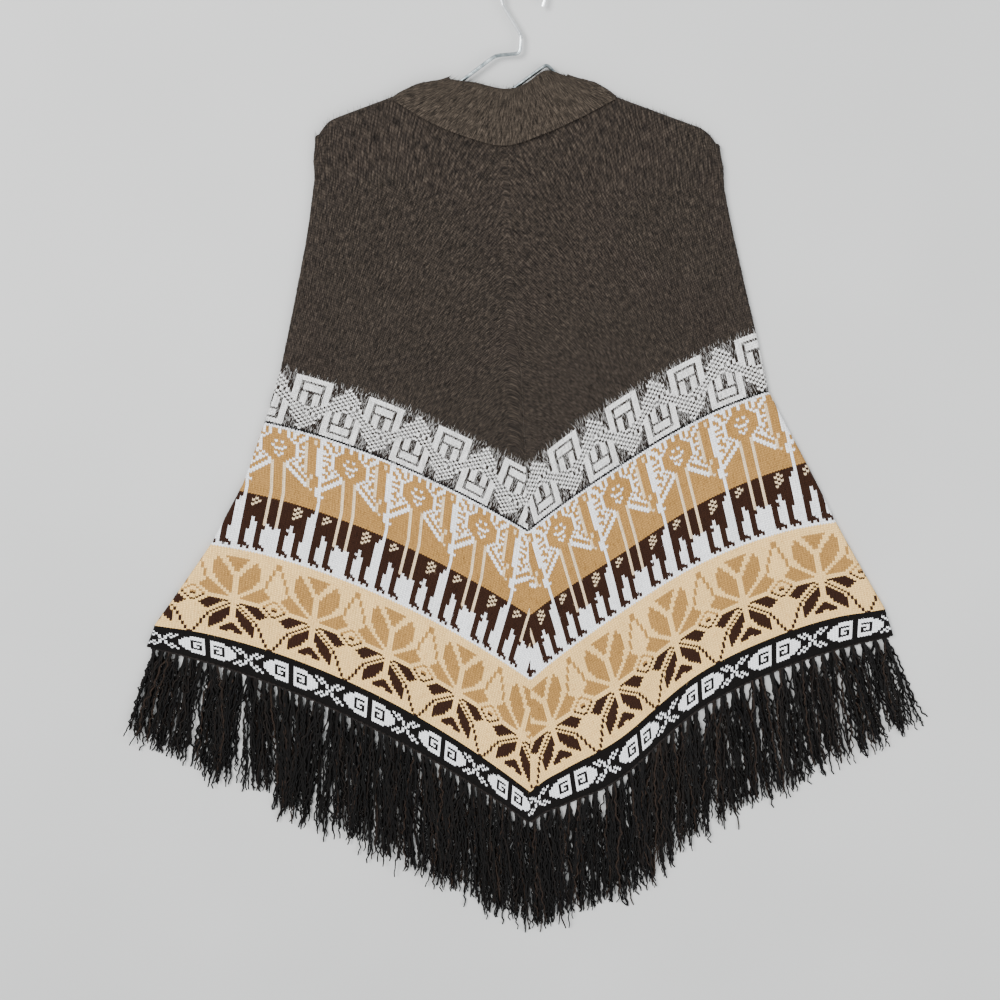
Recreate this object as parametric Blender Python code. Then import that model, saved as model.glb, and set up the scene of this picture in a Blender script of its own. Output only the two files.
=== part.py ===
"""Andean poncho, laid flat with its wire hanger inside. Metres, +Z up.

The garment is two knitted panels. Each runs from the centre-front seam round one side
fold to the centre-back seam, so the two make a V at the hem, front and back. The neck has
a turned-down collar, the hem a fringe, and a bent wire hanger lies between the layers.

Plan sizes are measured from the tip of the front hem: x across from the centre seam, y up
towards the collar. The whole is moved at the end, so that the middle of the bottom of its
box is the origin.
"""

import math

import bmesh
import bpy
import numpy as np

# Cloth
WALL = 0.0024  # thickness of the knit
SEAM = 0.0003  # gap between two pieces that are sewn together
FACET_ROOM = 0.00005  # more at each side of the centre seam, whose two edges are facets
LAYER_GAP = 0.0006  # between the front and back layers where they lie flat
FOLD_PUFF = 0.0030  # how much more the layers part at a side fold
PUFF_REACH = 0.055  # how far in from the fold that parting fades out
SEAM_BOW = 0.010  # how far the centre seam bows to the right, halfway up
SEAM_LENGTH = 0.812  # hem tip to neckline
DIP_AT = 0.105  # where the right half of the hem sags most, from the seam
DIP_WIDTH = 0.065
DIP_START = 0.040  # the seam itself does not sag, which holds to here

# Hanger
WIRE = 0.0035  # diameter
HANGER_GAP = 0.0050  # between the layers where the hanger lies
BAR_LEFT_Y = 0.785  # the bottom bar at its left end
BAR_RIGHT_Y = 0.766
HANGER_MARGIN = 0.008  # the layers stay this far parted past the bar
HANGER_FADE = 0.070  # and close over this distance

# Collar
FALL_LIFT = WALL + SEAM  # the back layer lies on the collar's back fall
FALL_TIP_Y = 0.785  # the fall's lower edge at the centre seam
FALL_SLOPE = 0.39  # rise of that edge for each metre out
FALL_FADE = 0.030
FALL_MARGIN = 0.022  # the layers are parted in full this far below it
ROLL = WALL + SEAM / 2  # outer radius of the roll at the collar's top edge

# Each section is a line of stitches across half the garment. seam_y is its height on the
# centre seam, rise its slope there, curve its bend, dip the sag near the tip, fold_x where
# it meets the side fold, and rows how many mesh rows lie between it and the next.
COLUMNS = ("name", "seam_y", "rise", "curve", "dip", "fold_x", "rows")
LEFT_SECTIONS = (
    ("hem", 0.000, 0.87, 0.66, 0.000, 0.435, 2),
    ("star_base", 0.042, 0.93, 0.87, 0.000, 0.422, 4),
    ("figure_base", 0.192, 0.83, 0.86, 0.000, 0.345, 3),
    ("figure_middle", 0.283, 0.775, 0.80, 0.000, 0.302, 3),
    ("frame_base", 0.375, 0.72, 0.78, 0.000, 0.271, 2),
    ("frame_top", 0.452, 0.65, 0.66, 0.000, 0.247, 5),
    ("chest", 0.640, 0.50, 0.80, 0.000, 0.206, 3),
    ("yoke", 0.725, 0.30, 0.60, 0.000, 0.194, 4),
)
RIGHT_SECTIONS = (
    ("hem", 0.000, 0.925, 0.89, 0.032, 0.426, 2),
    ("star_base", 0.042, 0.98, 1.06, 0.024, 0.414, 4),
    ("figure_base", 0.192, 0.925, 1.16, 0.004, 0.352, 3),
    ("figure_middle", 0.283, 0.81, 0.86, 0.007, 0.312, 3),
    ("frame_base", 0.375, 0.80, 0.92, 0.003, 0.273, 2),
    ("frame_top", 0.452, 0.78, 0.93, 0.000, 0.257, 5),
    ("chest", 0.640, 0.45, 0.75, 0.000, 0.228, 3),
    ("yoke", 0.725, 0.20, 0.70, 0.000, 0.221, 4),
)
# The shoulder is a straight line from the neck point to the hanger's end. It is the line
# that the rolled edge turns about, so the cloth reaches a radius past it.
SHOULDERS = {
    -1: {"neck_x": 0.080, "neck_y": 0.8398, "slope": 0.302, "end_x": 0.193},
    1: {"neck_x": 0.088, "neck_y": 0.8310, "slope": 0.385, "end_x": 0.219},
}
CORNER = 0.020  # the shoulder rounds off over this distance before the side fold
CORNER_DROP = 0.013  # and comes down this far
YOKE_RISE = 0.050  # from the yoke up to the shoulder, at the side fold
NECKLINE_Y = SEAM_LENGTH
NECKLINE_POWER = 1.6
FLAT_COLUMNS = 11
STATION_POWER = 0.92
FOLD_COLUMNS = 6
CURL_ROWS = 3
CURL_END = math.radians(84)
CURL_START = 0.003  # past the neck point, where the shoulder edge starts to curl
CURL_BLEND = 0.010

# Plan of the collar's front, left to right: where it is sewn to the neckline, the top edge
# and the free edge of the fall. Each row is one station.
COLLAR_CLEAR = 0.0008  # the seam at the neckline, with room for the panels' straight facets
COLLAR = (  # neck_x, top_x, top_y, fall_x, fall_y
    (-0.0760, -0.048, 0.8510, -0.1080, 0.8320),
    (-0.0560, -0.026, 0.8450, -0.0740, 0.8105),
    (-0.0300, -0.004, 0.8390, -0.0360, 0.7940),
    (0.0000, 0.010, 0.8385, 0.0000, 0.7850),
    (0.0320, 0.024, 0.8430, 0.0380, 0.7940),
    (0.0620, 0.043, 0.8540, 0.0760, 0.8085),
    (0.0840, 0.060, 0.8500, 0.1100, 0.8240),
)
COLLAR_STATIONS = 15
SIDE_STATIONS = 5
STAND_POINTS = 3
ROLL_POINTS = 5
FALL_POINTS = 4

# Fringe
FRINGE_BACK = (0.0000, 0.0026)  # bottom and top of each fringe's solid
FRINGE_FRONT = (0.0029, 0.0060)
FRINGE_CENTRE = 0.156  # length at the tip of the V, halfway out and at the corner
FRINGE_MIDDLE = 0.170
FRINGE_CORNER = 0.124
FRINGE_LEAN = math.radians(20)  # outward lean of the corner tuft
FRINGE_TAPER = 0.0010  # how much each face closes in at the tips
FRINGE_ROWS = 3

# Hanger's plan: corners of its centreline, each with the radius of its bend
HOOK_CENTRE = (0.0230, 0.9210)
HOOK_RADIUS = 0.0210
HOOK_FROM, HOOK_TO = math.radians(-28), math.radians(200)
HANGER = (  # x, y, bend radius
    (0.0200, 0.8860, 0.010),
    (0.0180, 0.8700, 0.005),
    (-0.0060, 0.8690, 0.016),
    (-0.0560, 0.8370, 0.060),
    (-0.1850, 0.7985, 0.007),
    (-0.1850, BAR_LEFT_Y, 0.006),
    (0.2060, BAR_RIGHT_Y, 0.007),
    (0.2060, 0.7785, 0.006),
    (0.0640, 0.8370, 0.020),
    (0.0440, 0.8590, 0.004),
    (0.0060, 0.8350, 0.000),
)
HOOK_STEPS = 16
BEND_STEP = math.radians(22)
WIRE_STEP = 0.016

MATERIALS = {  # colour, roughness, metallic
    "heathered_knit": ((0.045, 0.031, 0.026), 0.95, 0.0),
    "fringe_yarn": ((0.016, 0.011, 0.009), 0.90, 0.0),
    "zinc_wire": ((0.60, 0.62, 0.63), 0.28, 1.0),
}


def smooth_step(low, high, value):
    """0 below low, 1 above high and a soft curve between."""
    share = np.clip((value - low) / (high - low), 0.0, 1.0)
    return share * share * (3.0 - 2.0 * share)


def section_table(side):
    """The sections of one half as a dict of arrays, one for each column."""
    rows = LEFT_SECTIONS if side < 0 else RIGHT_SECTIONS
    table = {}
    for index, name in enumerate(COLUMNS[1:], start=1):
        table[name] = np.array([row[index] for row in rows], float)
    return table


def section_at(table, level):
    """One line of stitches between two sections, at a fractional level."""
    levels = np.arange(len(table["seam_y"]))
    return {name: float(np.interp(level, levels, column)) for name, column in table.items()}


def section_y(line, out, side):
    """Height of a line of stitches at a distance out from the seam."""
    sag = line["dip"] * np.exp(-(((out - DIP_AT) / DIP_WIDTH) ** 2))
    sag = sag * smooth_step(0.0, DIP_START, out) if side > 0 else 0.0
    return line["seam_y"] + line["rise"] * out - line["curve"] * out**2 - sag


def seam_x(y):
    """The centre seam bows a little to the right."""
    return SEAM_BOW * np.sin(math.pi * np.clip(y / SEAM_LENGTH, 0.0, 1.0))


def plan_x(out, y, reach, side):
    """Across, for a distance out from the seam: the seam bows and the side fold doesn't."""
    edge = SEAM / 2 + FACET_ROOM
    return seam_x(y) + side * (edge + out * (1 - (edge + side * seam_x(y)) / reach))


def layer_gap(x, y, out, fold_x):
    """How far the front and back layers are apart."""
    bar_y = BAR_LEFT_Y + (BAR_RIGHT_Y - BAR_LEFT_Y) * np.clip((x + 0.19) / 0.40, 0.0, 1.0)
    hanger = smooth_step(-HANGER_MARGIN - HANGER_FADE, -HANGER_MARGIN, y - bar_y)
    puff = FOLD_PUFF * smooth_step(fold_x - PUFF_REACH, fold_x, out)
    flat = LAYER_GAP + puff
    return flat + (HANGER_GAP - flat) * hanger


def back_height(x, y):
    """Height of the back layer's underside: on the surface, or on the collar's fall."""
    inside = y - (FALL_TIP_Y + FALL_SLOPE * np.abs(x))
    return FALL_LIFT * smooth_step(-FALL_MARGIN - FALL_FADE, -FALL_MARGIN, inside)


def middle_height(x, y, gap):
    """Height of the plane halfway between the two layers."""
    return back_height(x, y) + WALL + gap / 2


def neckline_y(out, side):
    """Height of the panel's edge at the collar."""
    size = SHOULDERS[side]
    share = np.clip(out / size["neck_x"], 0.0, 1.0) ** NECKLINE_POWER
    return NECKLINE_Y + share * (size["neck_y"] - NECKLINE_Y)


def shoulder_y(out, side):
    """The line that the shoulder's rolled edge turns about, or a radius below the neckline."""
    size = SHOULDERS[side]
    neckline = neckline_y(out, side)
    reach = size["end_x"] - WALL - HANGER_GAP / 2
    corner = np.clip((out - reach + CORNER) / CORNER, 0.0, 1.0)
    shoulder = size["neck_y"] - size["slope"] * (out - size["neck_x"]) - CORNER_DROP * corner**2
    curled = smooth_step(CURL_START, CURL_START + CURL_BLEND, out - size["neck_x"])
    radius = WALL + HANGER_GAP / 2
    return (neckline - radius) * (1 - curled) + shoulder * curled, curled


def flat_reach(fold_x, fold_y, side):
    """How far out a layer is flat, before it turns round the side fold."""
    return fold_x - WALL - layer_gap(side * fold_x, fold_y, fold_x, fold_x) / 2


def flat_stations(reach):
    """Distances out from the seam of the columns in a flat layer, a little closer outward."""
    return reach * np.linspace(0.0, 1.0, FLAT_COLUMNS + 1) ** STATION_POWER


def panel_grids(side):
    """Inner and outer faces of one panel, as arrays of rows, columns and xyz."""
    table = section_table(side)
    levels = []
    for index, count in enumerate(table["rows"][:-1]):
        levels += list(index + np.arange(count) / count)
    last = len(table["rows"]) - 1
    upper = np.arange(table["rows"][-1] + 1) / table["rows"][-1]

    rows = [(section_at(table, level), 0.0, 0.0) for level in levels]
    rows += [(section_at(table, last), share, 0.0) for share in upper]
    rows += [(section_at(table, last), 1.0, (k + 1) / CURL_ROWS) for k in range(CURL_ROWS)]

    turns = np.linspace(math.pi / 2, -math.pi / 2, FOLD_COLUMNS + 1)
    inner, outer = [], []
    for line, share, curl in rows:
        end_x = SHOULDERS[side]["end_x"]
        fold_x = line["fold_x"] * (1 - share) + end_x * share
        fold_y = section_y(line, line["fold_x"], side)
        reach = flat_reach(fold_x, fold_y + share * YOKE_RISE, side)
        front = flat_stations(reach)
        out = np.concatenate([front[:-1], np.full(len(turns), reach), front[-2::-1]])
        angle = np.concatenate(
            [np.full(FLAT_COLUMNS, turns[0]), turns, np.full(FLAT_COLUMNS, turns[-1])]
        )
        top_y, curled = shoulder_y(out, side)
        radius = WALL + HANGER_GAP / 2
        y = section_y(line, out, side) * (1 - share) + top_y * share
        y = y + (1 - curled) * radius * curl
        lean = curled * curl * CURL_END
        x = plan_x(out, y, reach, side)
        gap = layer_gap(x, y, out + (fold_x - reach), fold_x)
        z = middle_height(x, y, gap)
        normal = np.stack(
            [side * np.cos(angle) * np.cos(lean), np.sin(lean), np.sin(angle) * np.cos(lean)],
            axis=1,
        )
        centre = np.stack([x, y, z], axis=1)
        inner.append(centre + (gap / 2)[:, None] * normal)
        outer.append(centre + (gap / 2 + WALL)[:, None] * normal)
    return np.array(inner), np.array(outer)


def collar_grids():
    """The two faces of the collar, round the neck, from the neckline over to the fall."""
    table = np.array(COLLAR)
    knots = np.arange(len(table))
    along = np.linspace(0, len(table) - 1, COLLAR_STATIONS)
    front = np.stack([np.interp(along, knots, column) for column in table.T], axis=1)
    halves = np.linspace(0, math.pi, SIDE_STATIONS + 2)[1:-1]

    stations = [(row, 0.0, 0) for row in front]
    stations += [(front[-1], turn, 1) for turn in halves]
    stations += [(row, math.pi, 0) for row in front[::-1]]
    stations += [(front[0], math.pi - turn, -1) for turn in halves]

    # Distances of the cloth's two faces from the middle plane, down the stand and the fall
    stand_in, stand_out = HANGER_GAP / 2, HANGER_GAP / 2 + WALL
    fall_in, fall_out = stand_out + SEAM, stand_out + SEAM + WALL
    roll_middle = (stand_in + fall_out) / 2
    middle = middle_height(0.0, NECKLINE_Y, HANGER_GAP)

    faces = {"a": [], "b": []}
    for row, turn, side in stations:
        neck_side = -1 if row[0] < 0 else 1
        neck = np.array([row[0], neckline_y(abs(row[0]), neck_side) + COLLAR_CLEAR])
        top, fall = row[1:3], row[3:5]
        up = (top - neck) / np.linalg.norm(top - neck)
        apex = top - ROLL * up
        along_side = (top - fall) / np.linalg.norm(top - fall)
        out = np.array([-along_side[1], along_side[0]])
        if out[1] < 0:
            out = -out
        if side == 0:
            normal = np.array([0.0, 0.0, math.cos(turn)])
        else:
            normal = np.array([out[0] * math.sin(turn), out[1] * math.sin(turn), math.cos(turn)])
        for name, stand, fall_at, radius in (
            ("a", stand_in, fall_out, ROLL),
            ("b", stand_out, fall_in, SEAM / 2),
        ):
            points = []
            for share in np.linspace(0, 1, STAND_POINTS)[:-1]:
                points.append((neck + share * (apex - neck), stand))
            for angle in np.linspace(-math.pi / 2, math.pi / 2, ROLL_POINTS):
                place = apex + radius * math.cos(angle) * up
                points.append((place, roll_middle + radius * math.sin(angle)))
            for share in np.linspace(0, 1, FALL_POINTS)[1:]:
                points.append((apex + share * (fall - apex), fall_at))
            faces[name].append([np.array([*p, middle]) + d * normal for p, d in points])
    return np.array(faces["a"]), np.array(faces["b"])


def fringe_grids(side, heights):
    """Lower and upper faces of one fringe's reach, from the same stations as the hem's."""
    table = section_table(side)
    hem = section_at(table, 0)
    fold_y = section_y(hem, hem["fold_x"], side)
    out = flat_stations(flat_reach(hem["fold_x"], fold_y, side))
    share = out / out[-1]
    length = FRINGE_CENTRE * (1 - share) + FRINGE_CORNER * share
    middle_extra = FRINGE_MIDDLE - (FRINGE_CENTRE + FRINGE_CORNER) / 2
    length = length + 4 * middle_extra * share * (1 - share)
    lean = FRINGE_LEAN * share**2
    hem_y = section_y(hem, out, side)
    root_x = plan_x(out, hem_y, out[-1], side)
    root_y = hem_y - 2 * SEAM
    lower, upper = [], []
    for reach in np.linspace(0, 1, FRINGE_ROWS):
        x = root_x + side * np.sin(lean) * length * reach
        y = root_y - np.cos(lean) * length * reach
        bottom = np.full_like(x, heights[0])
        top = np.full_like(x, heights[1] - 2 * FRINGE_TAPER * reach)
        lower.append(np.stack([x, y, bottom], axis=1))
        upper.append(np.stack([x, y, top], axis=1))
    return np.array(lower), np.array(upper)


def subdivided(points):
    """Adds points to the long straight stretches, so that they can follow the cloth's height."""
    made = [points[0]]
    for before, after in zip(points, points[1:]):
        steps = max(1, math.ceil(np.linalg.norm(after - before) / WIRE_STEP))
        made += [before + (after - before) * k / steps for k in range(1, steps + 1)]
    return np.array(made)


def bent_wire():
    """Centreline of the hanger in plan: the hook's arc, then its corners with their bends."""
    turns = np.linspace(HOOK_FROM, HOOK_TO, HOOK_STEPS)
    points = [np.array(HOOK_CENTRE) + HOOK_RADIUS * np.array([math.cos(t), math.sin(t)]) for t in turns]
    corners = [points[-1]] + [np.array(row[:2]) for row in HANGER]
    radii = [0.0] + [row[2] for row in HANGER]
    for before, corner, after, radius in zip(corners, corners[1:], corners[2:], radii[1:]):
        back = (before - corner) / np.linalg.norm(before - corner)
        ahead = (after - corner) / np.linalg.norm(after - corner)
        half = math.acos(np.clip(back @ ahead, -1, 1)) / 2
        centre = corner + (back + ahead) / np.linalg.norm(back + ahead) * radius / math.sin(half)
        start = corner + back * radius / math.tan(half) - centre
        sweep = math.pi - 2 * half
        way = 1.0 if back[0] * ahead[1] - back[1] * ahead[0] < 0 else -1.0
        steps = max(2, math.ceil(sweep / BEND_STEP))
        for k in range(steps + 1):
            turn = way * sweep * k / steps
            c, s = math.cos(turn), math.sin(turn)
            points.append(centre + np.array([c * start[0] - s * start[1], s * start[0] + c * start[1]]))
    points.append(corners[-1])
    return subdivided(points)


def material(name):
    colour, roughness, metallic = MATERIALS[name]
    made = bpy.data.materials.new(name)
    made.use_nodes = True
    shader = made.node_tree.nodes["Principled BSDF"]
    shader.inputs["Base Color"].default_value = (*colour, 1.0)
    shader.inputs["Roughness"].default_value = roughness
    shader.inputs["Metallic"].default_value = metallic
    return made


def add_object(name, data, finish):
    made = bpy.data.objects.new(name, data)
    made.data.materials.append(finish)
    bpy.context.scene.collection.objects.link(made)
    return made


def thin_solid(name, one, other, finish, ring=False):
    """A closed wall between two faces of the same grid. A ring joins its last row to its first."""
    rows, columns = one.shape[:2]
    count = rows * columns
    points = np.concatenate([one.reshape(-1, 3), other.reshape(-1, 3)])
    faces = []
    row_pairs = [(r, (r + 1) % rows) for r in range(rows if ring else rows - 1)]
    for r, s in row_pairs:
        for c in range(columns - 1):
            quad = (r * columns + c, r * columns + c + 1, s * columns + c + 1, s * columns + c)
            faces.append(quad)
            faces.append(tuple(count + i for i in reversed(quad)))
        for c in (0, columns - 1):
            faces.append((r * columns + c, s * columns + c, count + s * columns + c, count + r * columns + c))
    if not ring:
        for r in (0, rows - 1):
            for c in range(columns - 1):
                a, b = r * columns + c, r * columns + c + 1
                faces.append((a, b, count + b, count + a))
    mesh = bpy.data.meshes.new(name)
    mesh.from_pydata(points.tolist(), [], faces)
    work = bmesh.new()
    work.from_mesh(mesh)
    bmesh.ops.recalc_face_normals(work, faces=work.faces)
    if work.calc_volume(signed=True) < 0:
        bmesh.ops.reverse_faces(work, faces=work.faces)
    work.to_mesh(mesh)
    work.free()
    mesh.shade_smooth()
    mesh.set_sharp_from_angle(angle=math.radians(45))
    return add_object(name, mesh, finish)


def hanger(finish):
    plan = bent_wire()
    height = middle_height(plan[:, 0], plan[:, 1], HANGER_GAP)
    curve = bpy.data.curves.new("hanger", "CURVE")
    curve.dimensions = "3D"
    curve.bevel_depth = WIRE / 2
    curve.bevel_resolution = 2
    curve.use_fill_caps = True
    spline = curve.splines.new("POLY")
    spline.points.add(len(plan) - 1)
    for point, (x, y), z in zip(spline.points, plan, height):
        point.co = (x, y, z, 1.0)
    return add_object("hanger", curve, finish)


def centre_on_origin(objects):
    """Moves all together, so that the middle of the bottom of their box is the origin."""
    bpy.context.view_layer.update()
    graph = bpy.context.evaluated_depsgraph_get()
    corners = []
    for one in objects:
        mesh = one.evaluated_get(graph).to_mesh()
        corners.append(np.array([vertex.co[:] for vertex in mesh.vertices]))
    corners = np.concatenate(corners)
    low, high = corners.min(axis=0), corners.max(axis=0)
    for one in objects:
        one.location = (-(low[0] + high[0]) / 2, -(low[1] + high[1]) / 2, -low[2])


def build():
    for old in list(bpy.data.objects):
        bpy.data.objects.remove(old, do_unlink=True)
    knit, yarn, zinc = (material(name) for name in MATERIALS)
    made = [
        thin_solid("left_panel", *panel_grids(-1), knit),
        thin_solid("right_panel", *panel_grids(1), knit),
        thin_solid("collar", *collar_grids(), knit, ring=True),
    ]
    for name, heights in (("front", FRINGE_FRONT), ("back", FRINGE_BACK)):
        for word, side in (("left", -1), ("right", 1)):
            grids = fringe_grids(side, heights)
            made.append(thin_solid(f"fringe_{name}_{word}", *grids, yarn))
    made.append(hanger(zinc))
    centre_on_origin(made)


build()
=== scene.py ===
"""Looks of the andean poncho, laid flat with its wire hanger inside. Metres, +Z up.

Plan sizes are measured from the tip of the front hem, as in the CAD part: x across from the
centre seam, y up towards the collar. ORIGIN moves them into the frame. Each panel is one
cloth from the centre-front seam round the side fold to the centre-back seam. Its bands are
knitted stitch by stitch from the charts below: a column of stitches runs along the side
fold, and a row runs across from fold to seam.
"""

import math

import bmesh
import bpy
import numpy as np
from mathutils import Matrix, Vector


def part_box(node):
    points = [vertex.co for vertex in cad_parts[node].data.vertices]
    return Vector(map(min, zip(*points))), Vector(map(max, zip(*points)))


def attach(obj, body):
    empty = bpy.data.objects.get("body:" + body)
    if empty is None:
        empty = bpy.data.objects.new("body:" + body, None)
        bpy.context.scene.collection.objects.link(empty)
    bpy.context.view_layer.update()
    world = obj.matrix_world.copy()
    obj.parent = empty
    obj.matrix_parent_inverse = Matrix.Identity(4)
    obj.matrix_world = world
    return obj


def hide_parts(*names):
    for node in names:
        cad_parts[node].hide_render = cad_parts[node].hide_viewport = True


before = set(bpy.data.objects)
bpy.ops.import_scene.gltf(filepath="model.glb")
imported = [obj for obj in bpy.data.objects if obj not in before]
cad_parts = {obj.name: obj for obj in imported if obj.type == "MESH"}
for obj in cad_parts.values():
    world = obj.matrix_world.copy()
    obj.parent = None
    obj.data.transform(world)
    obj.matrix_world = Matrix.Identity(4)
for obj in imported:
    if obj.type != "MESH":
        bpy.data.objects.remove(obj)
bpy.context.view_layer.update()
FRINGE_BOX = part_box("fringe_front_left")
PANEL_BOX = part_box("left_panel")

# Cloth, as in the CAD part
WALL = 0.0024
SEAM = 0.0003
FACET_ROOM = 0.00005
SEWN_GAP = 0.00006  # half the gap at the centre seam, which the yarns close
LAYER_GAP = 0.0006
FOLD_PUFF = 0.0030
PUFF_REACH = 0.055
SEAM_BOW = 0.010
SEAM_LENGTH = 0.812
DIP_AT = 0.105
DIP_WIDTH = 0.065
DIP_START = 0.040
HANGER_GAP = 0.0050
BAR_START_X = -0.19
BAR_LENGTH = 0.40
BAR_LEFT_Y = 0.785
BAR_RIGHT_Y = 0.766
HANGER_MARGIN = 0.008
HANGER_FADE = 0.070
FALL_LIFT = WALL + SEAM
FALL_TIP_Y = 0.785
FALL_SLOPE = 0.39
FALL_FADE = 0.030
FALL_MARGIN = 0.022
ROLL = WALL + SEAM / 2
CORNER = 0.020
CORNER_DROP = 0.013
YOKE_RISE = 0.050
NECKLINE_Y = SEAM_LENGTH
NECKLINE_POWER = 1.6
CURL_END = math.radians(84)
CURL_START = 0.003
CURL_BLEND = 0.010
COLLAR_CLEAR = 0.0008
COLUMNS = ("seam_y", "rise", "curve", "dip", "fold_x")
# The CAD part's lines of stitches across each half: hem, star_base, figure_base,
# figure_middle, frame_base, frame_top, chest and yoke
SECTIONS = {
    -1: (
        (0.000, 0.87, 0.66, 0.000, 0.435),
        (0.042, 0.93, 0.87, 0.000, 0.422),
        (0.192, 0.83, 0.86, 0.000, 0.345),
        (0.283, 0.775, 0.80, 0.000, 0.302),
        (0.375, 0.72, 0.78, 0.000, 0.271),
        (0.452, 0.65, 0.66, 0.000, 0.247),
        (0.640, 0.50, 0.80, 0.000, 0.206),
        (0.725, 0.30, 0.60, 0.000, 0.194),
    ),
    1: (
        (0.000, 0.925, 0.89, 0.032, 0.426),
        (0.042, 0.98, 1.06, 0.024, 0.414),
        (0.192, 0.925, 1.16, 0.004, 0.352),
        (0.283, 0.81, 0.86, 0.007, 0.312),
        (0.375, 0.80, 0.92, 0.003, 0.273),
        (0.452, 0.78, 0.93, 0.000, 0.257),
        (0.640, 0.45, 0.75, 0.000, 0.228),
        (0.725, 0.20, 0.70, 0.000, 0.221),
    ),
}
SHOULDERS = {
    -1: {"neck_x": 0.080, "neck_y": 0.8398, "slope": 0.302, "end_x": 0.193},
    1: {"neck_x": 0.088, "neck_y": 0.8310, "slope": 0.385, "end_x": 0.219},
}
COLLAR = (  # neck_x, top_x, top_y, fall_x, fall_y
    (-0.0760, -0.048, 0.8510, -0.1080, 0.8320),
    (-0.0560, -0.026, 0.8450, -0.0740, 0.8105),
    (-0.0300, -0.004, 0.8390, -0.0360, 0.7940),
    (0.0000, 0.010, 0.8385, 0.0000, 0.7850),
    (0.0320, 0.024, 0.8430, 0.0380, 0.7940),
    (0.0620, 0.043, 0.8540, 0.0760, 0.8085),
    (0.0840, 0.060, 0.8500, 0.1100, 0.8240),
)
FRINGE_CENTRE = 0.156
FRINGE_MIDDLE = 0.170
FRINGE_CORNER = 0.124
FRINGE_LEAN = math.radians(20)

# The CAD part's move onto its origin
ORIGIN = Vector((FRINGE_BOX[1].x + SEAM / 2 + FACET_ROOM, PANEL_BOX[0].y, 0.0))

# Knitting
STITCH = {-1: 0.00334, 1: 0.00320}  # width of a stitch in each half
ROW = 0.0026  # height of a row
V_DROP = 0.45  # how far down, in rows, the middle of each stitch reaches
SECTION_ROWS = {"hem": 15, "star": 46, "figure": 58, "frame": 26}

YARNS = {  # red, green and blue as seen, 0 to 255
    "K": (13, 11, 10),  # hem's ground
    "W": (238, 239, 241),  # white
    "T": (240, 197, 126),  # cream tan
    "C": (162, 121, 66),  # camel
    "B": (44, 25, 16),  # dark brown
    "L": (220, 196, 160),  # light lines on the camel and brown
    "D": (38, 32, 28),  # heathered body
    "G": (232, 231, 229),  # brushed white of the frames
}
HEM_CHART = """
..............................
..............................
..............................
....#####..#####...#.#.....#.#
..#######..#######..#.#...#.#.
.###....#..#....###..#.#.#.#..
####.####..####.####...#.#....
####.#..#..#..#.####....#.....
####.##.#..#.##.####...#.#....
.###....#..#....###..#.#.#.#..
..#######..#######..#.#...#.#.
....#####..#####...#.#.....#.#
..............................
..............................
..............................
"""
# Half of the star, from its middle line outwards, below and above its middle row. The upper
# chart is written upside down
STAR_LOWER_CHART = """
..........#..#
..#######..#..
.#..######..#.
..#..######..#
.#.#..######..
.##.#..####...
.###.#..##....
.####.#.......
.#####.#......
..#####.#.....
..#####.#.....
...#####.#....
#..#####.#....
##..####..#...
###..###..#...
####..##..#...
.###...#...#..
...........#..
............#.
............#.
.............#
"""
STAR_UPPER_CHART = """
..........#..#
..#######..#..
...#######..#.
.#..#######..#
.##..#######..
.###..######..
.####..####...
.#####..##....
.#####...#....
.######...#...
.######...#...
.#######..#...
..######..#...
..######...#..
#..#####...#..
#..#####...#..
##..####....#.
##...###....#.
###..##.....#.
###...#......#
####.........#
.............#
..............
..............
..............
"""
FIGURE_CHART = """
........................
.##..#.##.##.#..##.####.
..##.#.##.##.#.##..##L#.
#..#.#.#####.#.#..###L#.
##.##.#######.##.#L####.
.#...#########..##L###..
..#.####.#.####.#.L###..
###.###########.##L###..
....###.###.###...L###..
###.####...####.##L###..
..#.###########.#.L###..
.#..####.#.####..#L###..
##.#.####.####.#.#L###..
.##.#.#######.#.##L###..
..#..#.#####.#..#.L###..
##..##.L###L.##..#L###..
.#.##..L###L..##.#L###..
..##..#L###L#..##.##L##.
.##..##L###L##..##.#L##.
##..###L###L###..##L###.
#..####L###L####..#L###.
..#####L###L#####..L###.
.######L###L######.L##..
#######L###L########L#..
#######L###L##########..
.######L###L##########..
#######L###L###########.
#######L###L###########.
#######L###L###########.
#######L###L###########.
#######L###L###########.
#######L###L###########.
BBBBBBBLBBBLBBBBBBBBBBB.
BBBLBBBLBBBLBBBBBLBBBBB.
BBLBLBBLBBBLBBBBLBLBBB..
BBBLBBBLBBBLBBBBBLBBBB..
BBLBBBBLBBBLBBBBLBLBB...
BBBBBBBLBBBLBBBBBLBBB...
BBBBBBBLBBBLBBBBLBBBB...
BBBBBBBLBBBLBBBBBBBBB...
BBBBBBBLBBBLBBBBBBBBB...
BBBBBBBLBBBLBBBBBBBBB...
BBB.BBBLBBBLBBBB.BBBB...
BBB.BBBLBBBLBBBB.BBBB...
BBB..BBL.BBLBBB..BBBB...
BBB..BBB..B..BBB..BBB...
BBB..BBB.....BBB..BBB...
BBB..BB......BB...BBB...
BB...BB......BB...BB....
BB...BB......BB...BB....
BB...BB......BB...BB....
BB...BB......BB...BB....
BB...BB......BB...BB....
BB...BB......BB...BB....
BBB..BBB.....BBB..BBB...
BBBB.BBBB....BBBB.BBBB..
.B.B..B.B.....B.B..B.B..
........................
"""
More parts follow.
